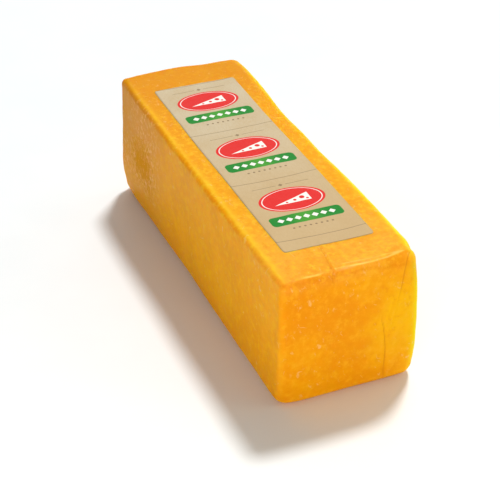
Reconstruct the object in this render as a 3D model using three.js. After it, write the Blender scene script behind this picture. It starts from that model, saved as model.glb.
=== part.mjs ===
// A loaf of orange cheddar for a cheese counter, with a strip of printed paper lying along its top.
// The loaf is pressed in a mould and then held in a skin-tight clear film: its edges are rounded, its faces
// are a little uneven, and at the near end the film's gusset and seam have left folds in the cheese.
// Millimetres. X is the width, +Y runs from the near end to the far end, Z is up, and the origin is the
// middle of the face that the loaf stands on.

import * as THREE from "three";
import { mergeVertices } from "three/addons/utils/BufferGeometryUtils.js";

// Driving dimensions of the loaf
const WIDTH = 91;
const LENGTH = 284;
const HEIGHT = 90;
const TIGHT_RADIUS = 3.6; // of the edges on the upper left
const SOFT_RADIUS = 7.5; // of the edges on the right and round the base
const FACE_SWELL = 0.3; // the faces are fullest in their middles by this much

// The paper strip: three equal panels and a short tail at the near end
const PANEL_LENGTH = 69.7;
const PANEL_COUNT = 3;
const TAIL_LENGTH = 11.5;
const STRIP_WIDTH = 58.5;
const STRIP_LENGTH = PANEL_COUNT * PANEL_LENGTH + TAIL_LENGTH;
const STRIP_OFF_CENTRE = -1; // towards -X
const STRIP_FROM_NEAR_END = 30.4;
const STRIP_CORNER = 2.5;
const STRIP_THICKNESS = 0.3;
const STRIP_GAP = 0.35; // keeps the strip's faces clear of the loaf's

const NEAR_END = -LENGTH / 2;

// Cells across each side: a few narrow ones round each edge, and even ones between
const ARC_CELLS = 3;
const FACE_CELLS = 22; // over the width, and over the height
const NEAR_CELLS = 8; // along the first NEAR_STRETCH of the length, where the folds are
const NEAR_STRETCH = 40;
const FAR_CELLS = 15; // along the rest
const STRIP_CELLS_ACROSS = 6;
const STRIP_CELLS_ALONG = 24;
const STRIP_CORNER_CELLS = 3;

const { clamp, lerp, smoothstep } = THREE.MathUtils;
const bell = (distance, reach) => Math.exp(-((distance / reach) ** 2));

// A repeatable run of numbers from 0 to 1, each worked out from the last
function seeded(seed) {
  const multiplier = 16807;
  const modulus = 2 ** 31 - 1;
  let state = seed;
  return () => {
    state = (state * multiplier) % modulus;
    return state / modulus;
  };
}

// Long shallow waves in every direction, the unevenness of a pressed cheese
function makeWaves({ seed, count, shortest, longest, height }) {
  const random = seeded(seed);
  return Array.from({ length: count }, () => {
    const turn = 2 * Math.PI * random();
    const rise = 2 * random() - 1;
    const flat = Math.sqrt(1 - rise * rise);
    const length = shortest + (longest - shortest) * random();
    const number = (2 * Math.PI) / length;
    return {
      x: number * flat * Math.cos(turn),
      y: number * flat * Math.sin(turn),
      z: number * rise,
      phase: 2 * Math.PI * random(),
      height: (height * length) / longest,
    };
  });
}

const WAVES = makeWaves({ seed: 7, count: 12, shortest: 45, longest: 120, height: 0.12 });

const wavesAt = (p) =>
  WAVES.reduce((sum, w) => sum + w.height * Math.cos(w.x * p.x + w.y * p.y + w.z * p.z + w.phase), 0);

// Folds are drawn on the near end and on the top behind it as one sheet, unrolled over the edge between:
// a place on it is X, and the distance down from the upper edge, which is negative on the top.
// A fold has its width, its depth, and a lip that stands up beside it, on the side that lipSide gives.
const folds = [
  {
    name: "gusset fold",
    path: [[50, -12], [40, -4], [33.5, 13], [27.5, 29], [21, 43], [22.5, 62], [24.5, 92]],
    width: 2.8,
    depth: 1,
    lip: 0.6,
    lipSide: 1,
  },
  {
    name: "gusset pleat",
    path: [[32.5, 18], [29, 33], [25, 50]],
    width: 3,
    depth: 0.4,
    lip: 0.4,
    lipSide: -1,
  },
  {
    name: "seam over the near edge",
    path: [[-8, -28], [-9.3, -18], [-10.8, -8], [-13, 1], [-11, 14]],
    width: 2.6,
    depth: 0.55,
    lip: 0.3,
    lipSide: -1,
  },
];
const rims = [
  { name: "rim left of the seam", path: [[-30, -3], [-15, -4]], width: 2.4, rise: 0.4 },
  { name: "rim right of the seam", path: [[-8, -5], [14, -5.5], [36, -6.5]], width: 2.8, rise: 0.5 },
];
const FOLD_FADE = 9; // a fold runs out over this length at each end
const LIP_OFFSET = 1.6; // from the fold to the top of its lip, in widths of the fold
const LIP_SPREAD = 1.3;
const CURVE_STEPS = 16;

const smoothPath = (points) =>
  new THREE.SplineCurve(points.map(([x, y]) => new THREE.Vector2(x, y))).getPoints(CURVE_STEPS);
for (const line of [...folds, ...rims]) line.path = smoothPath(line.path);

// The nearest place on a path: how far off it is, on which side, and how strong the fold is there
function nearestOn(path, place) {
  const nearest = { distance: Infinity, side: 1 };
  let along = 0;
  let run = 0;
  for (let i = 1; i < path.length; i++) {
    const step = path[i].clone().sub(path[i - 1]);
    const offset = place.clone().sub(path[i - 1]);
    const t = clamp(offset.dot(step) / step.lengthSq(), 0, 1);
    const distance = offset.distanceTo(step.clone().multiplyScalar(t));
    if (distance < nearest.distance) {
      nearest.distance = distance;
      nearest.side = Math.sign(step.cross(offset)) || 1;
      along = run + t * step.length();
    }
    run += step.length();
  }
  nearest.strength = smoothstep(Math.min(along, run - along), -FOLD_FADE / 3, FOLD_FADE);
  return nearest;
}

function foldHeightAt(place) {
  let height = 0;
  for (const fold of folds) {
    const near = nearestOn(fold.path, place);
    const besideLip = near.distance * near.side * fold.lipSide - LIP_OFFSET * fold.width;
    height -= fold.depth * near.strength * bell(near.distance, fold.width);
    height += fold.lip * near.strength * bell(besideLip, LIP_SPREAD * fold.width);
  }
  for (const rim of rims) {
    const near = nearestOn(rim.path, place);
    height += rim.rise * near.strength * bell(near.distance, rim.width);
  }
  return height;
}

// Where the loaf has been pushed out of true: the middle of each push, how far it reaches along X, Y and Z,
// and how far it moves the cheese at its middle
const pushes = [
  { name: "slump of the right upper edge", at: [45, 54, 90], reach: [14, 28, 14], by: [-1.7, 0, -1.6] },
  { name: "the same edge, nearer", at: [45, 0, 90], reach: [14, 34, 14], by: [-1.1, 0, -1] },
  { name: "near right upper corner", at: [45, -142, 90], reach: [12, 10, 18], by: [-2.6, 2, -1.8] },
  { name: "notch of the gusset", at: [45, -128, 90], reach: [8, 4, 8], by: [-0.9, 0, -0.9] },
  { name: "near left upper corner", at: [-45, -142, 90], reach: [12, 12, 12], by: [0.8, 0.8, -0.8] },
  { name: "near right lower corner", at: [45, -142, 0], reach: [14, 14, 12], by: [-0.6, 1.4, 0] },
  { name: "near left lower corner", at: [-45, -142, 0], reach: [10, 10, 12], by: [0.7, 2.2, 0] },
  { name: "near lower edge", at: [5, -142, 0], reach: [60, 20, 16], by: [0, 2.1, 0] },
  { name: "far left lower corner", at: [-45, 142, 0], reach: [14, 20, 14], by: [1.9, -1.3, 0] },
  { name: "far right lower corner", at: [45, 142, 0], reach: [14, 14, 14], by: [-1.4, -1.4, 0] },
  { name: "far right upper corner", at: [45, 142, 90], reach: [14, 14, 12], by: [-0.4, -0.6, -0.9] },
  { name: "far left edge", at: [-45, 142, 62], reach: [24, 44, 30], by: [1.5, -0.4, 0] },
  { name: "far left upper corner", at: [-45, 142, 90], reach: [12, 14, 18], by: [1.6, -1, -1] },
  { name: "far upper edge on the left", at: [-30, 142, 90], reach: [22, 20, 14], by: [0, -0.8, -0.7] },
  { name: "dip of the far upper edge", at: [16, 142, 90], reach: [14, 24, 16], by: [0, -0.5, -0.9] },
  { name: "left side by the base", at: [-45, 32, 0], reach: [24, 86, 26], by: [2, 0, 0] },
  { name: "belly of the right side", at: [45, -130, 34], reach: [20, 36, 22], by: [0.9, 0, 0] },
];

function pushed(p) {
  const moved = p.clone();
  for (const { at, reach, by } of pushes) {
    const away = Math.hypot(
      (p.x - at[0]) / reach[0],
      (p.y - at[1]) / reach[1],
      (p.z - at[2]) / reach[2],
    );
    moved.addScaledVector(new THREE.Vector3(...by), bell(away, 1));
  }
  return moved;
}

// The relief fades out round the lower edge, where the outward direction points this far down, so that the
// loaf stands on a flat base
const RELIEF_FULL = -0.3;
const RELIEF_GONE = -0.95;

// How far the skin stands out at a place on the rounded box, where the outward direction is n
function reliefAt(round, n) {
  const down = HEIGHT - round.z - (round.y - NEAR_END);
  const folded = round.y < 0 ? foldHeightAt(new THREE.Vector2(round.x, down)) : 0;
  return smoothstep(n.z, RELIEF_GONE, RELIEF_FULL) * (wavesAt(round) + folded);
}

// The swelling of the faces, which leaves the edges where they are
function swollen(p) {
  const u = (2 * p.x) / WIDTH;
  const v = (2 * p.y) / LENGTH;
  const w = (2 * p.z) / HEIGHT - 1;
  const full = (a, b) => FACE_SWELL * (1 - a * a) * (1 - b * b);
  const up = Math.max(w, 0) * full(u, v);
  return new THREE.Vector3(p.x + u * full(v, w), p.y + v * full(u, w), p.z + up);
}

// The edges are tight on the upper left, and softer towards the right and towards the base
function edgeRadiusAt(x, z) {
  const right = smoothstep(x, 0, 36);
  const low = 1 - smoothstep(z, 2, 20);
  return lerp(TIGHT_RADIUS, SOFT_RADIUS, Math.max(right, low));
}

// Takes a point on the sharp-edged box to its place on the loaf, or to a height above the loaf's skin
function onLoaf(sharp, height = 0) {
  const radius = edgeRadiusAt(sharp.x, sharp.z);
  const core = new THREE.Vector3(
    clamp(sharp.x, radius - WIDTH / 2, WIDTH / 2 - radius),
    clamp(sharp.y, radius - LENGTH / 2, LENGTH / 2 - radius),
    clamp(sharp.z, radius, HEIGHT - radius),
  );
  const n = sharp.clone().sub(core).normalize();
  const round = core.addScaledVector(n, radius);
  return pushed(swollen(round.clone().addScaledVector(n, reliefAt(round, n) + height)));
}

// Grid lines across one side of the box: equal arcs round each edge, and even cells between. A line has its
// share of the way from the middle to where the rounding starts, and how far it is round the edge.
function stations(stretches) {
  const turnAt = (i) => (i / ARC_CELLS) * (Math.PI / 4);
  const arc = Array.from({ length: ARC_CELLS + 1 }, (_, i) => Math.tan(turnAt(i)));
  const lines = arc.map((round) => ({ share: -1, round })).reverse();
  for (const { upTo, cells } of stretches) {
    const from = lines.at(-1).share;
    for (let i = 1; i <= cells; i++) lines.push({ share: from + ((upTo - from) * i) / cells, round: 0 });
  }
  return lines.concat(arc.slice(1).map((round) => ({ share: 1, round })));
}

function placeOf({ share, round }, half, radius) {
  return share * (half - radius) + Math.sign(share) * radius * round;
}

// A box of unit cells whose corners place() moves; corners that coincide are joined, so it stays closed
function gridBox(cellsX, cellsY, cellsZ, place) {
  const box = new THREE.BoxGeometry(cellsX, cellsY, cellsZ, cellsX, cellsY, cellsZ);
  box.deleteAttribute("normal");
  box.deleteAttribute("uv");
  const geometry = mergeVertices(box);
  const position = geometry.getAttribute("position");
  for (let i = 0; i < position.count; i++) {
    const p = place(
      Math.round(position.getX(i) + cellsX / 2),
      Math.round(position.getY(i) + cellsY / 2),
      Math.round(position.getZ(i) + cellsZ / 2),
    );
    position.setXYZ(i, p.x, p.y, p.z);
  }
  geometry.computeVertexNormals();
  return geometry;
}

function makeLoaf() {
  const xs = stations([{ upTo: 1, cells: FACE_CELLS }]);
  const ys = stations([
    { upTo: (2 * NEAR_STRETCH) / LENGTH - 1, cells: NEAR_CELLS },
    { upTo: 1, cells: FAR_CELLS },
  ]);
  const zs = stations([{ upTo: 1, cells: FACE_CELLS }]);
  const geometry = gridBox(xs.length - 1, ys.length - 1, zs.length - 1, (i, j, k) => {
    const radius = edgeRadiusAt((xs[i].share * WIDTH) / 2, ((1 + zs[k].share) * HEIGHT) / 2);
    const x = placeOf(xs[i], WIDTH / 2, radius);
    const y = placeOf(ys[j], LENGTH / 2, radius);
    const z = placeOf(zs[k], HEIGHT / 2, radius) + HEIGHT / 2;
    return onLoaf(new THREE.Vector3(x, y, z));
  });
  const cheddar = new THREE.MeshStandardMaterial({ color: 0xf5a11c, roughness: 0.42, metalness: 0 });
  const loaf = new THREE.Mesh(geometry, cheddar);
  loaf.name = "cheddar_block";
  return loaf;
}

// Draws the sheet's square corners in to quarter circles, and leaves the rest of it as it is
function roundCorner(x, y, halfX, halfY) {
  const dx = Math.abs(x) - (halfX - STRIP_CORNER);
  const dy = Math.abs(y) - (halfY - STRIP_CORNER);
  if (dx <= 0 || dy <= 0) return [x, y];
  const pull = 1 - Math.max(dx, dy) / Math.hypot(dx, dy);
  return [x - Math.sign(x) * dx * pull, y - Math.sign(y) * dy * pull];
}

// Grid lines across the paper, with a few through each rounded corner
function paperStations(half, cells) {
  const inner = half - STRIP_CORNER;
  const middle = Array.from({ length: cells + 1 }, (_, i) => inner * ((2 * i) / cells - 1));
  const corner = Array.from(
    { length: STRIP_CORNER_CELLS },
    (_, i) => inner + (STRIP_CORNER * (i + 1)) / STRIP_CORNER_CELLS,
  );
  return [...corner.map((c) => -c).reverse(), ...middle, ...corner];
}

function makePaperStrip() {
  const halfX = STRIP_WIDTH / 2;
  const halfY = STRIP_LENGTH / 2;
  const middleY = NEAR_END + STRIP_FROM_NEAR_END + halfY;
  const xs = paperStations(halfX, STRIP_CELLS_ACROSS);
  const ys = paperStations(halfY, STRIP_CELLS_ALONG);
  const geometry = gridBox(xs.length - 1, ys.length - 1, 1, (i, j, side) => {
    const [x, y] = roundCorner(xs[i], ys[j], halfX, halfY);
    const under = new THREE.Vector3(x + STRIP_OFF_CENTRE, y + middleY, HEIGHT);
    return onLoaf(under, STRIP_GAP + side * STRIP_THICKNESS);
  });
  const paper = new THREE.MeshStandardMaterial({ color: 0xd8bf93, roughness: 0.6, metalness: 0 });
  const strip = new THREE.Mesh(geometry, paper);
  strip.name = "label_strip";
  return strip;
}

const cheddar = new THREE.Group();
cheddar.add(makeLoaf(), makePaperStrip());

export default cheddar;
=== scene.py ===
# A loaf of orange cheddar for a cheese counter, with a strip of printed paper along its top.
# The loaf and the strip are drawn in millimetres. Finished meshes, the lights and the camera are in metres.
# X is the width, +Y runs from the near end to the far end, Z is up, and the origin is the middle of the base.

import math

import bpy
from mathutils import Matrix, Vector


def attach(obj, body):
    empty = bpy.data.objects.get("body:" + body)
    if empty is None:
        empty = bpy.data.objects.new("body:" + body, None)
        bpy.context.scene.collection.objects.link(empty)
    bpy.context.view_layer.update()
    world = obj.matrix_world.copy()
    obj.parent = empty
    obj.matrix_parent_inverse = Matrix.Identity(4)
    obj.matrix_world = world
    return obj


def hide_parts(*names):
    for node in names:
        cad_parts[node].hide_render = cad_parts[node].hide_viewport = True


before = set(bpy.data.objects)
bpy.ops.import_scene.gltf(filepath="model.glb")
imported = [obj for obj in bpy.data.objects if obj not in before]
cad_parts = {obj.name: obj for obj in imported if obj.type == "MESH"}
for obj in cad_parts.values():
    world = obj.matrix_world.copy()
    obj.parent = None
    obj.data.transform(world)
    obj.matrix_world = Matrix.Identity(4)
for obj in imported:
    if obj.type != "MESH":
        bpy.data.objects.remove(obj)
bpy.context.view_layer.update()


# The loaf
# Cheddar pressed in a long mould, so its edges are round and its faces swell and wave a little. A clear film
# is shrunk tight to it: at the near end the film's gusset and its seam have pressed folds into the cheese.

MM = 0.001

LOAF_SIZES = {
    "Width": 91.0,
    "Length": 284.0,
    "Height": 90.0,
    "Tight radius": 3.6,
    "Soft radius": 7.5,
    "Face swell": 0.3,
}
NEAR_END = -LOAF_SIZES["Length"] / 2
LOAF_CELLS = (112, 150, 110)
NEAR_CELL_SHARE = 0.42  # a cell at the near end has this much of the mean length, and later ones grow

WAVE_SEED = 7
WAVE_COUNT = 12
WAVE_LENGTHS = (45, 120)
WAVE_HEIGHT = 0.12

CURD_SIZE = 11
CURD_HEIGHT = 0.28
GRAIN_SIZE = 3.4
GRAIN_HEIGHT = 0.09

# Folds are drawn on the near end and on the top behind it as one sheet, unrolled over the edge between. A
# place on it is X, and the distance down from the upper edge, which is negative on the top. A path gives the
# distance along the way the fold runs, and then its place beside it. A lip stands up beside a fold, towards
# +X where lip_side is 1.
FOLDS = [
    {
        "name": "gusset fold",
        "path": [(-12, 50), (-4, 40), (13, 33.5), (29, 27.5), (43, 21), (62, 22.5), (92, 24.5)],
        "width": 2.8, "depth": 0.2, "lip": 0.08, "lip_side": 1,
    },
    {
        "name": "upper crease of the gusset fold",
        "path": [
            (-12, 49), (-3, 39.8), (7, 34.9), (18, 32.4), (27, 30.4), (34, 28.7), (44, 26.5), (50, 24.8),
        ],
        "width": 0.7, "depth": 0.27, "lip": 0.16, "lip_side": -1,
    },
    {
        "name": "faint crease beside it",
        "path": [(14, 27.4), (20, 25.3), (28, 22.9), (35, 21), (40, 19), (47, 18.9)],
        "width": 0.7, "depth": 0.12, "lip": 0.06, "lip_side": 1,
    },
    {
        "name": "edge of the gusset's flap",
        "path": [
            (36, 18.7), (41, 19.4), (45, 20.5), (51, 21.5), (57, 22.1), (68, 22.7), (80, 23), (94, 23.6),
        ],
        "width": 0.55, "depth": 0.28, "lip": 0.2, "lip_side": -1,
    },
    {
        "name": "seam over the near edge",
        "path": [
            (-38, -7.2), (-24, -8.6), (-18, -9.3), (-10, -10.8),
            (-3, -11.4), (2, -13.2), (8, -12), (15, -10.8),
        ],
        "width": 0.8, "depth": 0.38, "lip": 0.22, "lip_side": 1,
    },
    {
        "name": "other edge of the seam",
        "path": [(-38, -9.4), (-24, -10.6), (-18, -11.2), (-10, -12.4), (-3, -13)],
        "width": 0.7, "depth": 0.28, "lip": 0.12, "lip_side": -1,
    },
]
RIMS = [
    {
        "name": "rim left of the seam",
        "path": [(-36, -2), (-30, -2.7), (-26, -2.6), (-22.5, -2.3), (-18.5, -3.2), (-14, -4.2)],
        "width": 1.1, "rise": 0.42,
    },
    {
        "name": "rim right of the seam",
        "path": [
            (-12, -4.4), (-6.5, -4.7), (-0.5, -4.2), (5, -3.7), (10, -3.5), (21, -4), (29, -5.4), (37, -6.4),
        ],
        "width": 1.0, "rise": 0.42,
    },
    {
        "name": "rim behind it",
        "path": [(-9, -8.2), (1, -7.6), (8.5, -7.3), (17.5, -6.9), (25, -7.2), (31.5, -7.2), (41, -6.6)],
        "width": 0.9, "rise": 0.34,
    },
    {
        "name": "crease behind the left rim",
        "path": [(-36, -7.4), (-20, -6.6), (-8, -6.4)],
        "width": 0.9, "rise": -0.2,
    },
    {
        "name": "crease between the rims",
        "path": [(-11, -6.3), (1, -5.9), (9, -5.4), (18, -5.5), (27, -6.2)],
        "width": 0.7, "rise": -0.24,
    },
]
FOLD_FADE = 9  # a line runs out over this length at each end
LIP_OFFSET = 1.6  # from a fold to the top of its lip, in widths of the fold
LIP_SPREAD = 1.3

# Where the loaf has been pushed out of true: the middle of each push, how far it reaches along X, Y and Z,
# and how far it moves the cheese at its middle
PUSHES = [
    {"name": "slump of the right edge", "at": (45, 54, 90), "reach": (14, 28, 14), "by": (-1.7, 0, -1.6)},
    {"name": "the same edge, nearer", "at": (45, 0, 90), "reach": (14, 34, 14), "by": (-1.1, 0, -1)},
    {"name": "near right upper corner", "at": (45, -142, 90), "reach": (12, 10, 18), "by": (-2.6, 2, -1.8)},
    {"name": "notch of the gusset", "at": (45, -128, 90), "reach": (8, 4, 8), "by": (-0.9, 0, -0.9)},
    {"name": "near left upper corner", "at": (-45, -142, 90), "reach": (12, 12, 12), "by": (0.8, 0.8, -0.8)},
    {"name": "near right lower corner", "at": (45, -142, 0), "reach": (14, 14, 12), "by": (-0.6, 1.4, 0)},
    {"name": "near left lower corner", "at": (-45, -142, 0), "reach": (10, 10, 12), "by": (0.7, 2.2, 0)},
    {"name": "near lower edge", "at": (5, -142, 0), "reach": (60, 20, 16), "by": (0, 2.1, 0)},
    {"name": "far left lower corner", "at": (-45, 142, 0), "reach": (14, 20, 14), "by": (1.9, -1.3, 0)},
    {"name": "far right lower corner", "at": (45, 142, 0), "reach": (14, 14, 14), "by": (-1.4, -1.4, 0)},
    {"name": "far right upper corner", "at": (45, 142, 90), "reach": (14, 14, 12), "by": (-0.4, -0.6, -0.9)},
    {"name": "far left edge", "at": (-45, 142, 62), "reach": (24, 44, 30), "by": (1.5, -0.4, 0)},
    {"name": "far left upper corner", "at": (-45, 142, 90), "reach": (12, 14, 18), "by": (1.6, -1, -1)},
    {"name": "far upper edge, left part", "at": (-30, 142, 90), "reach": (22, 20, 14), "by": (0, -0.8, -0.7)},
    {"name": "dip of the far upper edge", "at": (16, 142, 90), "reach": (14, 24, 16), "by": (0, -0.5, -0.9)},
    {"name": "left side by the base", "at": (-45, 32, 0), "reach": (24, 86, 26), "by": (2, 0, 0)},
    {"name": "belly of the right side", "at": (45, -130, 34), "reach": (20, 36, 22), "by": (0.9, 0, 0)},
]

# The relief fades out round the lower edge, between these heights of the outward direction
RELIEF_GONE = -0.95
RELIEF_FULL = -0.3
RELIEF_SINK = 0.12  # keeps the highest grains inside the solid's box


class Field:
    """A number or a vector in a node tree. Arithmetic on fields adds the nodes that work it out."""

    def __init__(self, tree, socket):
        self.tree = tree
        self.socket = socket

    def __add__(self, other):
        return combine("ADD", self, other)

    def __radd__(self, other):
        return combine("ADD", other, self)

    def __sub__(self, other):
        return combine("SUBTRACT", self, other)

    def __rsub__(self, other):
        return combine("SUBTRACT", other, self)

    def __mul__(self, other):
        return combine("MULTIPLY", self, other)

    def __rmul__(self, other):
        return combine("MULTIPLY", self, other)

    def __truediv__(self, other):
        return combine("DIVIDE", self, other)

    def __neg__(self):
        return combine("MULTIPLY", self, -1)


def add_node(tree, kind, inputs, output=0, **settings):
    """Adds a node, fills its inputs with plain values or fields, and returns one of its outputs."""
    node = tree.nodes.new(kind)
    for name, value in settings.items():
        setattr(node, name, value)
    for key, value in inputs.items():
        if isinstance(value, Field):
            tree.links.new(value.socket, node.inputs[key])
        else:
            node.inputs[key].default_value = value
    return Field(tree, node.outputs[output])


def is_vector(value):
    if isinstance(value, Field):
        return value.socket.type in {"VECTOR", "RGBA"}
    return isinstance(value, tuple)


def tree_of(values):
    return next(value.tree for value in values if isinstance(value, Field))


def number_math(operation, *values):
    inputs = dict(enumerate(values))
    return add_node(tree_of(values), "ShaderNodeMath", inputs, operation=operation)


def vector_math(operation, *values, output="Vector"):
    inputs = dict(enumerate(values))
    return add_node(tree_of(values), "ShaderNodeVectorMath", inputs, output, operation=operation)


def combine(operation, a, b):
    """Works out a step of arithmetic on two numbers, two vectors, or a vector and a number that scales it."""
    if is_vector(a) and is_vector(b):
        return vector_math(operation, a, b)
    if is_vector(b):
        return combine(operation, b, a)
    if is_vector(a):
        if operation == "DIVIDE":
            b = number_math("DIVIDE", 1, b) if isinstance(b, Field) else 1 / b
        return add_node(tree_of((a, b)), "ShaderNodeVectorMath", {0: a, "Scale": b}, operation="SCALE")
    return number_math(operation, a, b)


def dot(a, b):
    return vector_math("DOT_PRODUCT", a, b, output="Value")


def length(a):
    return vector_math("LENGTH", a, output="Value")


def split(vector):
    """The three numbers of a vector."""
    parts = add_node(vector.tree, "ShaderNodeSeparateXYZ", {0: vector}).socket.node.outputs
    return [Field(vector.tree, parts[axis]) for axis in "XYZ"]


def joined(x, y, z):
    return add_node(tree_of((x, y, z)), "ShaderNodeCombineXYZ", {"X": x, "Y": y, "Z": z})


def absolute(a):
    return number_math("ABSOLUTE", a)


def smallest(a, b):
    return number_math("MINIMUM", a, b)


def largest(a, b):
    return number_math("MAXIMUM", a, b)


def clamped(value, low, high):
    return add_node(tree_of((value, low, high)), "ShaderNodeClamp", {"Value": value, "Min": low, "Max": high})


def ramp(value, start, end, to=(0, 1)):
    """Goes smoothly from to's first number to its second while the value goes from start to end."""
    inputs = {"Value": value, "From Min": start, "From Max": end, "To Min": to[0], "To Max": to[1]}
    return add_node(value.tree, "ShaderNodeMapRange", inputs, interpolation_type="SMOOTHSTEP")


def bell(distance, reach):
    """Full at no distance, and nearly gone at twice the reach."""
    share = distance / reach
    return number_math("EXPONENT", -(share * share))


def bell_about(place, middle, reaches):
    """Full at the middle, with a reach of its own along each axis."""
    away = (place - middle) / reaches
    return number_math("EXPONENT", -dot(away, away))


def noise(place, size, detail=2.0, roughness=0.5, seed=0.0):
    """Smooth noise about 0.5 with features of this size."""
    inputs = {"Vector": place + (seed, 1.7 * seed, -seed), "Scale": 1 / size}
    inputs |= {"Detail": detail, "Roughness": roughness}
    return add_node(place.tree, "ShaderNodeTexNoise", inputs, "Fac")


def smooth_curve(value, path):
    """Reads a smooth curve through the path's points, each the value and what it gives."""
    starts, gives = zip(*path)
    low = min(gives) - 1
    span = max(gives) + 1 - low
    share = clamped((value - starts[0]) / (starts[-1] - starts[0]), 0.0, 1.0)
    read = add_node(value.tree, "ShaderNodeFloatCurve", {"Value": share})
    mapping = read.socket.node.mapping
    points = mapping.curves[0].points
    while len(points) < len(path):
        points.new(0.5, 0.5)
    for point, (start, give) in zip(points, path):
        point.location = ((start - starts[0]) / (starts[-1] - starts[0]), (give - low) / span)
    mapping.update()
    return read * span + low


def seeded(seed):
    """A repeatable run of numbers from 0 to 1, each worked out from the last."""
    modulus = 2**31 - 1
    state = seed
    while True:
        state = state * 16807 % modulus
        yield state / modulus


def waves_at(place):
    """Long shallow waves in every direction, the unevenness of a pressed cheese."""
    draws = seeded(WAVE_SEED)
    shortest, longest = WAVE_LENGTHS
    height = 0
    for _ in range(WAVE_COUNT):
        turn = 2 * math.pi * next(draws)
        rise = 2 * next(draws) - 1
        flat = math.sqrt(1 - rise * rise)
        wave = shortest + (longest - shortest) * next(draws)
        phase = 2 * math.pi * next(draws)
        per_mm = Vector((flat * math.cos(turn), flat * math.sin(turn), rise)) * (2 * math.pi / wave)
        height += number_math("COSINE", dot(place, tuple(per_mm)) + phase) * (WAVE_HEIGHT * wave / longest)
    return height


def line_at(line, along, beside):
    """How far a place is beside a line, and how strong the line is there, as it runs out at its ends."""
    path = line["path"]
    past_ends = smallest(along - path[0][0], path[-1][0] - along)
    strength = ramp(past_ends, -FOLD_FADE / 3, FOLD_FADE)
    return beside - smooth_curve(along, path), strength


def folds_at(across, down):
    height = 0
    for fold in FOLDS:
        distance, strength = line_at(fold, down, across)
        past_lip = distance * fold["lip_side"] - LIP_OFFSET * fold["width"]
        groove = bell(distance, fold["width"]) * -fold["depth"]
        lip = bell(past_lip, LIP_SPREAD * fold["width"]) * fold["lip"]
        height += (groove + lip) * strength
    for rim in RIMS:
        distance, strength = line_at(rim, across, down)
        height += bell(distance, rim["width"]) * strength * rim["rise"]
    return height


def pushed(place):
    moved = place
    for push in PUSHES:
        moved += bell_about(place, push["at"], push["reach"]) * push["by"]
    return moved


def swollen(place, sizes):
    """Fills out the faces in their middles, and leaves the edges where they are."""
    half = joined(sizes["Width"], sizes["Length"], sizes["Height"]) / 2
    u, v, w = split((place - joined(0, 0, sizes["Height"] / 2)) / half)
    swell = sizes["Face swell"]

    def full(a, b):
        return (1 - a * a) * (1 - b * b) * swell

    return place + joined(u * full(v, w), v * full(u, w), largest(w, 0) * full(u, v))


def group_inputs(tree, wanted):
    """Declares a tree's inputs, each a name with its kind and its value, and returns them as fields."""
    for name, (kind, value) in wanted.items():
        socket = tree.interface.new_socket(name, in_out="INPUT", socket_type=f"NodeSocket{kind}")
        if value is not None:
            socket.default_value = value
    given = tree.nodes.new("NodeGroupInput").outputs
    return {name: Field(tree, given[name]) for name in wanted}


def group_output(tree, **results):
    """Declares a tree's outputs, each a name with its kind and its field."""
    for name, (kind, _) in results.items():
        tree.interface.new_socket(name, in_out="OUTPUT", socket_type=f"NodeSocket{kind}")
    end = tree.nodes.new("NodeGroupOutput")
    for name, (_, field) in results.items():
        tree.links.new(field.socket, end.inputs[name])


FLOAT_SIZES = {name: ("Float", size) for name, size in LOAF_SIZES.items()}


def edge_radius_at(x, z, sizes):
    """The edges are tight on the upper left, and softer towards the right and towards the base."""
    soft = largest(ramp(x, 0, 36), ramp(z, 20, 2))
    return sizes["Tight radius"] + soft * (sizes["Soft radius"] - sizes["Tight radius"])


def make_skin():
    """The node group that takes a place on a sharp-edged box to its place on, or above, the loaf's skin."""
    tree = bpy.data.node_groups.new("loaf_skin", "GeometryNodeTree")
    given = group_inputs(tree, {"Sharp": ("Vector", None), "Above": ("Float", 0.0), **FLOAT_SIZES})
    x, y, z = split(given["Sharp"])
    radius = edge_radius_at(x, z, given)
    half = joined(given["Width"], given["Length"], 0) / 2 - joined(radius, radius, 0)
    half_x, half_y, _ = split(half)
    core = joined(
        clamped(x, -half_x, half_x), clamped(y, -half_y, half_y), clamped(z, radius, given["Height"] - radius)
    )
    outward = vector_math("NORMALIZE", given["Sharp"] - core)
    place = core + outward * radius
    round_x, round_y, round_z = split(place)
    down = given["Height"] - round_z - (round_y + given["Length"] / 2)
    near_half = number_math("LESS_THAN", round_y, 0)
    folded = folds_at(round_x, down) * near_half
    curd = (noise(place, CURD_SIZE, seed=3) - 0.5) * (2 * CURD_HEIGHT)
    grain = (noise(place, GRAIN_SIZE, detail=1, seed=9) - 0.5) * (2 * GRAIN_HEIGHT)
    under = ramp(split(outward)[2], RELIEF_GONE, RELIEF_FULL)
    relief = under * (waves_at(place) + folded + curd + grain - RELIEF_SINK)
    skin = pushed(swollen(place + outward * (relief + given["Above"]), given))
    group_output(tree, Place=("Vector", skin), Fold=("Float", folded * under))
    return tree


SKIN = make_skin()


def on_skin(sharp, above, sizes):
    """The place on the loaf's skin for a place on the sharp-edged box, and the height of the folds there."""
    node = sharp.tree.nodes.new("GeometryNodeGroup")
    node.node_tree = SKIN
    for name, value in {"Sharp": sharp, "Above": above, **sizes}.items():
        if isinstance(value, Field):
            sharp.tree.links.new(value.socket, node.inputs[name])
        else:
            node.inputs[name].default_value = value
    return Field(sharp.tree, node.outputs["Place"]), Field(sharp.tree, node.outputs["Fold"])


def mesh_tree(name, inputs):
    """A new tree that makes a mesh, with these named inputs."""
    tree = bpy.data.node_groups.new(name, "GeometryNodeTree")
    tree.is_modifier = True
    return tree, group_inputs(tree, inputs)


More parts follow.
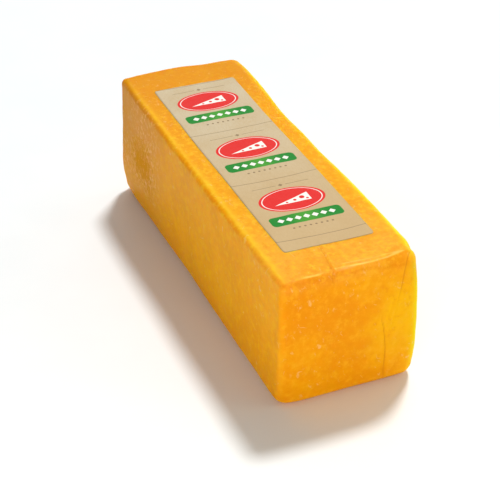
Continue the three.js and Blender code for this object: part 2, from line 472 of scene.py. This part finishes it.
def finish_tree(tree, mesh, material):
    """Turns the mesh smooth and real, gives it its material, and ends the tree."""
    smooth = add_node(tree, "GeometryNodeSetShadeSmooth", {"Geometry": mesh, "Shade Smooth": True})
    real = add_node(tree, "GeometryNodeRealizeInstances", {"Geometry": smooth})
    made = add_node(tree, "GeometryNodeSetMaterial", {"Geometry": real, "Material": material})
    group_output(tree, Mesh=("Geometry", made))


def piece_from(tree, name):
    """Runs the tree on an empty mesh and returns its result as a plain mesh object, with no modifier left."""
    maker = bpy.data.objects.new("maker", bpy.data.meshes.new("maker"))
    bpy.context.scene.collection.objects.link(maker)
    modifier = maker.modifiers.new("tree", "NODES")
    modifier.node_group = tree
    evaluated = maker.evaluated_get(bpy.context.evaluated_depsgraph_get())
    mesh = bpy.data.meshes.new_from_object(evaluated)
    bpy.data.objects.remove(maker)
    mesh.name = name
    piece = bpy.data.objects.new(name, mesh)
    bpy.context.scene.collection.objects.link(piece)
    return piece


def new_material(name):
    """A material with a Principled BSDF, its tree, and the Object coordinates in millimetres."""
    material = bpy.data.materials.new(name)
    material.use_nodes = True
    tree = material.node_tree
    place = add_node(tree, "ShaderNodeTexCoord", {}, "Object") * (1 / MM)
    return material, tree, place


def set_shader(tree, fixed, driven):
    """Sets the shader's fixed sockets to plain values, and links the ones that vary over the surface."""
    shader = tree.nodes["Principled BSDF"]
    for name, value in fixed.items():
        shader.inputs[name].default_value = value
    for name, field in driven.items():
        tree.links.new(field.socket, shader.inputs[name])


def mixed(share, a, b):
    """Goes from colour a to colour b with the share."""
    inputs = {0: share}
    for key, colour in ((6, a), (7, b)):
        inputs[key] = colour if isinstance(colour, Field) else (*colour, 1)
    return add_node(tree_of((share, a, b)), "ShaderNodeMix", inputs, 2, data_type="RGBA")


def bumped(tree, height):
    """The surface's direction over a relief given in millimetres."""
    return add_node(tree, "ShaderNodeBump", {"Strength": 1.0, "Distance": MM, "Height": height}, "Normal")


CHEDDAR = (0.93, 0.38, 0.001)
# painted shade: the cheese turns darker towards the far end, where less light falls
CHEDDAR_FAR_SHADE = (0.87, 0.335, 0.001)
# a deeper orange, for the curd's mottle and also for painted shade on the left part of the near end
CHEDDAR_DEEP_AND_SHADE = (0.86, 0.31, 0.001)
CHEDDAR_PALE = (1.0, 0.50, 0.02)
# painted shade: a darker orange for the upper far end
CHEDDAR_FAR_END_SHADE = (0.72, 0.25, 0.001)
# a dull dark orange for the damp patch, and also painted shade over the far end of the left face
CHEDDAR_DAMP_AND_SHADE = (0.69, 0.245, 0.001)
CHEDDAR_CRACKLE = (0.98, 0.50, 0.16)
# painted sheen: a paler, whiter orange for the film's reflection
CHEDDAR_PAINTED_SHEEN = (0.98, 0.41, 0.055)
# painted shade: a redder orange for the left face, out of the key light
CHEDDAR_SHADED_SIDE_TONE = (1.0, 0.35, 0.002)
# painted shade: a darker orange for the far part of the left face
CHEDDAR_SIDE_FAR_SHADE = (0.74, 0.265, 0.015)
# painted light: a yellower orange on the right part of the near end and beside the gusset fold
CHEDDAR_PAINTED_GLOW = (1.0, 0.52, 0.001)
# painted shade: a deeper, redder orange along the base
CHEDDAR_BASE_SHADE = (1.0, 0.20, 0.001)
FLECK = (1.0, 0.62, 0.22)
# painted shade: a darker orange for the grooves of the folds and the pits
CREASE_AND_PIT_SHADE = (0.70, 0.19, 0.001)
# painted highlight: a pale yellow along the upper left edge and the near left edge
PAINTED_EDGE_HIGHLIGHT = (1.0, 0.60, 0.02)
# painted light: a bright yellow glow for the right edges
PAINTED_RIM_GLOW = (1.0, 0.76, 0.001)
# painted highlight: a pale peach for the raised lips beside the folds
LIP_HIGHLIGHT = (1.0, 0.68, 0.14)

DAMP_PATCH = {"middle": (-45, 96, 44), "reaches": (12, 34, 26)}
# the path of a band of painted light beside the gusset fold
PAINTED_LIGHT_BESIDE_FOLD = [(6, 33.5), (20, 28.5), (28, 26.3), (35, 24.3), (41, 22.4), (50, 21.4)]
FILM_GLOSS = 0.1
CHEDDAR_RELIEF = {"curd": 0.3, "fine": 0.09, "flecks": 0.08, "marble": 0.08, "pits": -0.12}
COAT_RELIEF = 1.2  # the film's relief, in times the cheese's


def along_edge(place, reach, **at):
    """Full along a straight edge, given by two of its coordinates, and nearly gone at twice the reach."""
    parts = dict(zip("xyz", split(place)))
    away = [parts[axis] - at[axis] if axis in at else 0 for axis in "xyz"]
    return bell(length(joined(*away)), reach)


def flecks_and_pits(place, left_face):
    """Crowds of pale flecks, short arcs and open pits, which hardly show on the smooth middle of the left."""
    x, y, z = split(place)
    slant = joined(x + z * 0.4, y * 0.7, z * 0.6 - x * 0.3)
    smooth_part = left_face * ramp(y, -112, -88) * ramp(y, 84, 60)
    crowd = ramp(noise(place, 18, detail=2, seed=15), 0.42, 0.60) * (1 - smooth_part * 0.85)
    large = ramp(noise(slant, 3.2, detail=3, roughness=0.55, seed=12), 0.60, 0.76) * crowd
    small = ramp(noise(slant, 1.7, detail=2, roughness=0.5, seed=17), 0.68, 0.80) * crowd
    arcs = ramp(absolute(noise(slant, 9, detail=1, seed=19) - 0.5), 0.013, 0.003)
    arcs = arcs * ramp(noise(place, 5, detail=1, seed=23), 0.60, 0.70)
    pits = ramp(noise(slant, 2.8, detail=4, roughness=0.75, seed=33), 0.29, 0.21) * crowd
    return largest(largest(large, small * 0.8), arcs * 0.7), pits


def damp_patch(place):
    """A mottled patch near the far end of the left face, where the film clings without a gloss."""
    mottle = noise(place, 3.0, detail=4, roughness=0.7, seed=44) - 0.5
    return ramp(bell_about(place, **DAMP_PATCH) + mottle * 2.2, 0.55, 0.95)


def painted_edge_highlights(place, uneven):
    """Painted highlights along the upper left edge and along the near left one."""
    upper = along_edge(place, 2.0, x=-42, z=90.5) * ramp(split(place)[2], 88, 89.8)
    near = along_edge(place, 2.2, x=-45, y=-141.5)
    return largest(upper * 0.7, near * 0.3) * (uneven * 0.5 + 0.5)


def painted_rim_glow_at(place):
    """Painted glow along the edges on the right, standing for light that comes through the cheese."""
    upper = along_edge(place, 4.2, x=44.5, z=89) * ramp(split(place)[1], 150, 60, to=(0.4, 1))
    near = along_edge(place, 5, x=45.5, y=-141)
    return largest(upper, near) * 0.95


def painted_light_and_shade(place):
    """On the near end: painted light on its right part and on a band beside the gusset fold, and painted
    shade on its left part.
    """
    x, y, z = split(place)
    front = ramp(y, -134, -140)
    down = LOAF_SIZES["Height"] - z
    painted_band_beside_fold = bell(x - smooth_curve(down, PAINTED_LIGHT_BESIDE_FOLD), 2.2) * ramp(down, 8, 18) * ramp(down, 50, 44)
    painted_glow = largest(ramp(x, -12, 32) * ramp(z, 10, 42) * 0.8, painted_band_beside_fold)
    # painted shade round the upper left of the near end, and in soft clouds over its left part
    corner = along_edge(place, 15, x=-37, z=76)
    clouded_shade = ramp(noise(place, 34, seed=52), 0.46, 0.62) * ramp(x, 16, -4) * 0.5
    return painted_glow * front, largest(corner, clouded_shade) * front


def layered(colour, layers):
    """Lays colours over the first one in turn, each with its share."""
    for share, over in layers:
        colour = mixed(share, colour, over)
    return colour


def make_cheddar():
    """Waxy orange cheese, mottled by its curd and flecked under the film, with the film's gloss, and with
    painted light and shade in its colour.
    """
    material, tree, place = new_material("cheddar_in_film")
    x, y, z = split(place)
    cloud = noise(place, 26, detail=3, seed=2)
    curd = noise(place, 5, detail=4, roughness=0.65, seed=5)
    fine = noise(place, 1.6, detail=3, roughness=0.6, seed=8)
    vein = noise(place, 3.2, detail=4, roughness=0.7, seed=41)
    uneven = ramp(noise(place, 12, detail=2, seed=47), 0.3, 0.65)
    fold = add_node(tree, "ShaderNodeAttribute", {}, "Fac", attribute_name="fold")

    top = ramp(z, 78, 91)
    left_face = ramp(x, -42, -45)
    # painted shade over the far end of the left face
    left_end_shade = ramp(x, -38, -44) * ramp(y, 80, 140) * ramp(z, 20, 70)
    flecks, pits = flecks_and_pits(place, left_face)
    marble = ramp(vein, 0.5, 0.66) * (top * 0.75 + 0.2)
    damp = damp_patch(place)
    # painted glow along the right edges
    painted_rim_glow = painted_rim_glow_at(place)
    painted_glow, painted_shade = painted_light_and_shade(place)

    # the base colour carries painted shade, darker towards the far end
    colour = layered(mixed(ramp(y, -120, 130), CHEDDAR, CHEDDAR_FAR_SHADE), [
        # painted shade on the left face, in a redder orange
        (left_face * ramp(y, 90, 20) * (ramp(z, 46, 82) * 0.3 + 0.6), CHEDDAR_SHADED_SIDE_TONE),
        # painted light on the right part of the near end and beside the gusset fold
        (painted_glow, CHEDDAR_PAINTED_GLOW),
        # painted shade on the left part of the near end
        (painted_shade, CHEDDAR_DEEP_AND_SHADE),
        # painted sheen on the top towards the near end
        (top * ramp(y, -50, -125) * 0.5, CHEDDAR_PAINTED_SHEEN),
        (ramp(cloud, 0.62, 0.36) * 0.7, CHEDDAR_DEEP_AND_SHADE),
        (ramp(curd, 0.48, 0.70) * 0.5, CHEDDAR_PALE),
        (ramp(curd, 0.46, 0.28) * 0.6, CHEDDAR_DEEP_AND_SHADE),
        (ramp(vein, 0.48, 0.32) * (top * 0.4 + 0.2), CHEDDAR_DEEP_AND_SHADE),
        (marble, CHEDDAR_PALE),
        # painted shade, darker over the upper far end
        (ramp(y, 30, 138) * ramp(z, 60, 88) * 0.75, CHEDDAR_FAR_END_SHADE),
        # painted shade along the base
        (ramp(z, 2.5, 0.2) * 0.6, CHEDDAR_BASE_SHADE),
        # painted highlights along the upper left and near left edges
        (painted_edge_highlights(place, uneven), PAINTED_EDGE_HIGHLIGHT),
        # painted glow along the right edges
        (painted_rim_glow, PAINTED_RIM_GLOW),
        # painted shade over the far part of the left face
        (left_face * ramp(y, 30, 90) * (ramp(z, 30, 85) * 0.35 + 0.4), CHEDDAR_SIDE_FAR_SHADE),
        (ramp(vein, 0.50, 0.64) * left_face * ramp(y, 48, 86) * ramp(z, 14, 40) * 0.9, CHEDDAR_CRACKLE),
        # the damp patch, and painted shade over the far end of the left face
        (largest(damp, left_end_shade), CHEDDAR_DAMP_AND_SHADE),
        (flecks * 0.62, FLECK),
        # painted highlight on the raised lips beside the folds
        (ramp(fold, 0.1, 0.42) * (uneven * 0.5 + 0.25), LIP_HIGHLIGHT),
        # painted shade in the grooves of the folds and in the pits
        (largest(ramp(-fold, 0.12, 0.42) * 0.55, pits * 0.8), CREASE_AND_PIT_SHADE),
    ])

    heights = {"curd": curd - 0.5, "fine": fine - 0.5, "flecks": flecks, "marble": marble, "pits": pits}
    relief = sum(heights[name] * height for name, height in CHEDDAR_RELIEF.items())
    fixed = {
        "IOR": 1.4,
        "Specular IOR Level": 0.03,
        "Subsurface Weight": 1.0,
        "Subsurface Radius": (1.0, 0.42, 0.08),
        "Subsurface Scale": 0.003,
        "Coat IOR": 1.4,
        "Coat Roughness": 0.16,
    }
    driven = {
        "Base Color": colour,
        "Roughness": ramp(curd, 0.3, 0.7, to=(0.42, 0.6)) + damp * 0.3,
        # less film gloss over the painted glow on the right edges and over the damp patch
        "Coat Weight": FILM_GLOSS * (1 - largest(painted_rim_glow * 0.9, damp * 0.8)),
        "Normal": bumped(tree, relief),
        "Coat Normal": bumped(tree, relief * COAT_RELIEF),
    }
    set_shader(tree, fixed, driven)
    return material


def make_loaf():
    tree, given = mesh_tree(
        "cheddar_loaf",
        {**FLOAT_SIZES, **{f"Cells {axis}": ("Int", cells) for axis, cells in zip("XYZ", LOAF_CELLS)}},
    )
    lines = {f"Vertices {axis}": given[f"Cells {axis}"] + 1 for axis in "XYZ"}
    box = add_node(tree, "GeometryNodeMeshCube", {"Size": (1, 1, 1), **lines}, "Mesh")
    x, y, z = split(add_node(tree, "GeometryNodeInputPosition", {}))
    run = y + 0.5
    run = run * (run * (1 - NEAR_CELL_SHARE) + NEAR_CELL_SHARE)
    sharp = joined(x * given["Width"], (run - 0.5) * given["Length"], (z + 0.5) * given["Height"])
    skin, fold = on_skin(sharp, 0, {name: given[name] for name in LOAF_SIZES})
    marked = add_node(
        tree, "GeometryNodeStoreNamedAttribute", {"Geometry": box, "Name": "fold", "Value": fold}
    )
    shaped = add_node(tree, "GeometryNodeSetPosition", {"Geometry": marked, "Position": skin * MM})
    finish_tree(tree, shaped, make_cheddar())
    return piece_from(tree, "cheddar_loaf")


loaf = make_loaf()
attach(loaf, "root")
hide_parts("cheddar_block")


# The paper strip
# Three printed panels and a short tail of smooth kraft-coloured paper in one piece, held on the loaf's top by
# the film. The print is plain ink: a red oval with a wedge of cheese, and a green bar with a row of diamonds.

PANEL_COUNT = 3
PANEL_LENGTH = 69.7
TAIL_LENGTH = 11.5
STRIP_WIDTH = 58.5
STRIP_LENGTH = PANEL_COUNT * PANEL_LENGTH + TAIL_LENGTH
STRIP_OFF_CENTRE = -1
STRIP_FROM_NEAR_END = 30.4
STRIP_CORNER = 2.5
STRIP_LIFT = 0.05
STRIP_THICKNESS = 0.1
STRIP_CELLS = (54, 190)

PAPER_NEAR = (0.60, 0.43, 0.22)
PAPER_FAR = (0.64, 0.55, 0.38)
PAPER_SHADE = (0.54, 0.37, 0.17)
INK_GREEN = (0.001, 0.235, 0.016)
INK_LIGHT_GREEN = (0.10, 0.42, 0.025)
INK_RED = (0.76, 0.016, 0.012)
INK_CREAM = (0.95, 0.93, 0.86)
INK_BROWN = (0.20, 0.125, 0.055)
PRINT_EDGE = 0.12  # half of the width over which an edge of the print goes from none to full

# The print of a panel. Each UP is a height over the panel's middle, and each HALF a half of a size.
PANEL_LINE_THICKNESS = 0.5
PANEL_LINE_BULGE = 1.3
PANEL_LINE_HALF = 29
PANEL_LINE_INK = 0.7
OVAL_UP = 7.5
OVAL_HALVES = (21.5, 13.5)
OVAL_MEAN_HALF = 15
OVAL_RING_IN = 1.5
OVAL_RING_THICKNESS = 0.45
WEDGE_UP = 3.5
WEDGE_TIP = -13
WEDGE_BACK = 11.5
WEDGE_SLOPE = 0.36
WEDGE_HOLES = [(6.5, 4.2, 1.7), (1.2, 2.6, 1.1), (9.3, 1.9, 0.9), (-4.5, 1.4, 0.8)]  # across, up, radius
BAR_UP = -14
BAR_HALVES = (23.5, 5.3)
BAR_CORNER = 3
BAR_LIGHT_REACH = 9
BAR_LIGHT_SHARE = 0.55
DIAMOND_GAP = 5.6
DIAMOND_HALF = 2.3
DIAMOND_ROW_HALF = 19.5
DOTS_UP = -24
DOT_GAP = 3.6
DOT_RADIUS = 0.75
DOT_ROW_HALF = 14.4
DOT_INK = 0.8
RULE_UP = 25.5
RULE_HALF = 19
RULE_GAP_HALF = 3.2
RULE_THICKNESS = 0.4
RULE_DIAMOND_HALF = 1.5
RULE_INK = 0.75


def inside(distance):
    """Full where the distance into a shape is positive, with the print's soft edge."""
    return ramp(distance, -PRINT_EDGE, PRINT_EDGE)


# The shapes of the print. Each gives how far a place is inside it.
def stroke(distance, thickness):
    return thickness / 2 - absolute(distance)


def diamond(x, up, half):
    return (half - absolute(x) - absolute(up)) * math.sqrt(0.5)


def oval_patch(x, up):
    half_x, half_up = OVAL_HALVES
    return (1 - length(joined(x / half_x, up / half_up, 0))) * OVAL_MEAN_HALF


def rounded_bar(x, up):
    half_x, half_up = BAR_HALVES
    over_x = largest(absolute(x) - (half_x - BAR_CORNER), 0)
    over_up = largest(absolute(up) - (half_up - BAR_CORNER), 0)
    return BAR_CORNER - length(joined(over_x, over_up, 0))


def wedge_of_cheese(x, up):
    slope = (x - WEDGE_TIP) * WEDGE_SLOPE - up
    wedge = smallest(smallest(up, WEDGE_BACK - x), slope * math.cos(math.atan(WEDGE_SLOPE)))
    for across, hole_up, radius in WEDGE_HOLES:
        wedge = smallest(wedge, length(joined(x - across, up - hole_up, 0)) - radius)
    return wedge


def repeated(x, gap, middle=0.0):
    """Counts x from the nearest mark of a row, one of which stands at the middle."""
    return number_math("FLOORED_MODULO", x + (gap / 2 - middle), gap) - gap / 2


def row_of_diamonds(x, up):
    return smallest(diamond(repeated(x, DIAMOND_GAP), up, DIAMOND_HALF), DIAMOND_ROW_HALF - absolute(x))


def row_of_dots(x, up):
    beside = repeated(x, DOT_GAP, DOT_GAP / 2)
    return smallest(DOT_RADIUS - length(joined(beside, up, 0)), DOT_ROW_HALF - absolute(x))


def rule_with_diamond(x, up):
    """A thin rule that leaves a gap in its middle for a small diamond."""
    rule = smallest(stroke(up, RULE_THICKNESS), RULE_HALF - absolute(x))
    rule = smallest(rule, absolute(x) - RULE_GAP_HALF)
    return largest(rule, diamond(x, up, RULE_DIAMOND_HALF))


def printed(colour, x, y):
    """The print of every panel over the paper's colour."""
    first = NEAR_END + STRIP_FROM_NEAR_END + TAIL_LENGTH
    across = x / PANEL_LINE_HALF
    bulge = (1 - across * across) * PANEL_LINE_BULGE
    to_line = number_math("PINGPONG", y - first + bulge, PANEL_LENGTH / 2)
    colour = mixed(inside(stroke(to_line, PANEL_LINE_THICKNESS)) * PANEL_LINE_INK, colour, INK_BROWN)

    on_panel = number_math("GREATER_THAN", y, first)
    up = number_math("FLOORED_MODULO", y - first, PANEL_LENGTH) - PANEL_LENGTH / 2
    oval = oval_patch(x, up - OVAL_UP)
    green = mixed(bell(x, BAR_LIGHT_REACH) * BAR_LIGHT_SHARE, INK_GREEN, INK_LIGHT_GREEN)
    prints = [
        (oval, 1, INK_RED),
        (stroke(oval - OVAL_RING_IN, OVAL_RING_THICKNESS), 1, INK_CREAM),
        (wedge_of_cheese(x, up - WEDGE_UP), 1, INK_CREAM),
        (rounded_bar(x, up - BAR_UP), 1, green),
        (row_of_diamonds(x, up - BAR_UP), 1, INK_CREAM),
        (row_of_dots(x, up - DOTS_UP), DOT_INK, INK_BROWN),
        (rule_with_diamond(x, up - RULE_UP), RULE_INK, INK_BROWN),
    ]
    return layered(colour, [(inside(shape) * on_panel * share, ink) for shape, share, ink in prints])


def make_printed_paper():
    """Kraft-coloured paper with a soft grain, printed, under the film's gloss."""
    material, tree, place = new_material("printed_paper")
    x, y, z = split(place)
    fibre = noise(joined(x * 2.2, y * 0.7, z), 1.6, detail=4, roughness=0.65, seed=21)
    cloud = noise(place, 30, detail=3, seed=24)
    colour = mixed(ramp(y, -110, 110), PAPER_NEAR, PAPER_FAR)
    colour = mixed(ramp(fibre, 0.3, 0.75) * 0.35 + ramp(cloud, 0.35, 0.7) * 0.3, colour, PAPER_SHADE)
    colour = printed(colour, x - STRIP_OFF_CENTRE, y)
    relief = (fibre - 0.5) * 0.05 + (noise(place, 14, detail=2, seed=27) - 0.5) * 0.25
    fixed = {
        "IOR": 1.45,
        "Specular IOR Level": 0.12,
        "Coat Weight": 0.08,
        "Coat IOR": 1.4,
        "Coat Roughness": 0.28,
    }
    driven = {
        "Base Color": colour,
        "Roughness": ramp(fibre, 0.3, 0.7, to=(0.5, 0.62)),
        "Normal": bumped(tree, relief),
    }
    set_shader(tree, fixed, driven)
    return material


def make_strip():
    tree, given = mesh_tree(
        "paper_strip",
        {
            "Strip width": ("Float", STRIP_WIDTH),
            "Strip length": ("Float", STRIP_LENGTH),
            "Corner": ("Float", STRIP_CORNER),
            "Lift": ("Float", STRIP_LIFT),
            "Thickness": ("Float", STRIP_THICKNESS),
            "Cells across": ("Int", STRIP_CELLS[0]),
            "Cells along": ("Int", STRIP_CELLS[1]),
            **FLOAT_SIZES,
        },
    )
    lines = {"Vertices X": given["Cells across"] + 1, "Vertices Y": given["Cells along"] + 1, "Vertices Z": 2}
    box = add_node(tree, "GeometryNodeMeshCube", {"Size": (1, 1, 1), **lines}, "Mesh")
    x, y, z = split(add_node(tree, "GeometryNodeInputPosition", {}))
    x = x * given["Strip width"]
    y = y * given["Strip length"]
    over_x = number_math("ABSOLUTE", x) - (given["Strip width"] / 2 - given["Corner"])
    over_y = number_math("ABSOLUTE", y) - (given["Strip length"] / 2 - given["Corner"])
    in_corner = number_math("GREATER_THAN", smallest(over_x, over_y), 0)
    pull = in_corner * (1 - largest(over_x, over_y) / length(joined(over_x, over_y, 0)))
    x = x - number_math("SIGN", x) * over_x * pull
    y = y - number_math("SIGN", y) * over_y * pull
    middle = STRIP_FROM_NEAR_END + NEAR_END
    sharp = joined(x + STRIP_OFF_CENTRE, y + given["Strip length"] / 2 + middle, given["Height"])
    above = given["Lift"] + (z + 0.5) * given["Thickness"]
    skin, _ = on_skin(sharp, above, {name: given[name] for name in LOAF_SIZES})
    shaped = add_node(tree, "GeometryNodeSetPosition", {"Geometry": box, "Position": skin * MM})
    finish_tree(tree, shaped, make_printed_paper())
    return piece_from(tree, "paper_strip")


strip = make_strip()
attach(strip, "root")
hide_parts("label_strip")


# The floor and the light
# A wide white floor. A high soft key light from behind on the right throws the shadow to the left and the
# front, a warm one beside the camera fills the near end, and weak ones edge the loaf on the right and behind.

FLOOR_SIZE = 8
FLOOR_TONES = ((0.885, 0.925, 0.935), (0.90, 0.94, 0.95))
FLOOR_PATCH_SIZE = 60
KEY_FROM = (0.327, 0.351, 0.877)
KEY_ANGLE = 9
KEY_POWER = 2.41
SKY_STRENGTH = 0.25
PLAIN = (1.0, 1.0, 1.0)
SOFT_LIGHTS = {
    "near_fill": {"at": (-0.38, -0.64, 0.20), "to": (-0.02, -0.12, 0.04), "size": 0.45, "power": 1.9},
    "right": {"at": (0.30, -0.36, 0.21), "to": (0.045, -0.13, 0.06), "size": 0.2, "power": 0.27},
    "edge": {"at": (0.95, 0.25, 0.42), "to": (0, 0, 0.05), "size": 0.6, "power": 0.8},
    "sheen": {"at": (0.65, 1.50, 1.10), "to": (0, 0, 0.08), "size": 1.4, "power": 6.5},
}
TINTS = {"near_fill": (1.0, 0.89, 0.74), "right": (1.0, 0.82, 0.5)}


def make_floor():
    half = FLOOR_SIZE / 2
    mesh = bpy.data.meshes.new("floor")
    corners = [(-half, -half, 0), (half, -half, 0), (half, half, 0), (-half, half, 0)]
    mesh.from_pydata(corners, [], [(0, 1, 2, 3)])
    floor = bpy.data.objects.new("floor", mesh)
    bpy.context.scene.collection.objects.link(floor)
    material, tree, place = new_material("white_floor")
    patches = ramp(noise(place, FLOOR_PATCH_SIZE, detail=3, seed=31), 0.3, 0.7)
    driven = {"Base Color": mixed(patches, *FLOOR_TONES)}
    set_shader(tree, {"Roughness": 0.9, "Specular IOR Level": 0.1}, driven)
    mesh.materials.append(material)
    return floor


def aimed(obj, at, to):
    """Puts a light at one place and turns it to another."""
    obj.location = at
    obj.rotation_mode = "QUATERNION"
    obj.rotation_quaternion = (Vector(to) - Vector(at)).to_track_quat("-Z", "Y")
    bpy.context.scene.collection.objects.link(obj)


def soft_light(name, tint, at, to, size, power):
    light = bpy.data.lights.new(name, "AREA")
    light.shape = "DISK"
    light.size = size
    light.energy = power
    light.color = tint
    lamp = bpy.data.objects.new(name, light)
    lamp.visible_camera = False
    aimed(lamp, at, to)


make_floor()

key = bpy.data.lights.new("key", "SUN")
key.angle = math.radians(KEY_ANGLE)
key.energy = KEY_POWER
aimed(bpy.data.objects.new("key", key), KEY_FROM, (0, 0, 0))
for name, settings in SOFT_LIGHTS.items():
    soft_light(name, tint=TINTS.get(name, PLAIN), **settings)

sky = bpy.data.worlds.new("sky")
sky.use_nodes = True
sky.node_tree.nodes["Background"].inputs["Color"].default_value = (1, 1, 1, 1)
sky.node_tree.nodes["Background"].inputs["Strength"].default_value = SKY_STRENGTH
bpy.context.scene.world = sky
bpy.context.scene.view_settings.view_transform = "Standard"


# The camera
# A long lens from the near left, above the loaf. Azimuth 0 looks along +Y.

CAMERA_AT = (-0.3497, -0.8231, 0.5948)
CAMERA_AZIMUTH = math.radians(-22.75)
CAMERA_ELEVATION = math.radians(32.79)
CAMERA_LENS = 116.0

camera_data = bpy.data.cameras.new("camera")
camera_data.lens = CAMERA_LENS
camera_data.sensor_width = 36
camera = bpy.data.objects.new("camera", camera_data)
back = Vector((
    math.sin(CAMERA_AZIMUTH) * math.cos(CAMERA_ELEVATION),
    -math.cos(CAMERA_AZIMUTH) * math.cos(CAMERA_ELEVATION),
    math.sin(CAMERA_ELEVATION),
))
camera.location = CAMERA_AT
camera.rotation_mode = "QUATERNION"
camera.rotation_quaternion = (-back).to_track_quat("-Z", "Y")
bpy.context.scene.collection.objects.link(camera)
bpy.context.scene.camera = camera
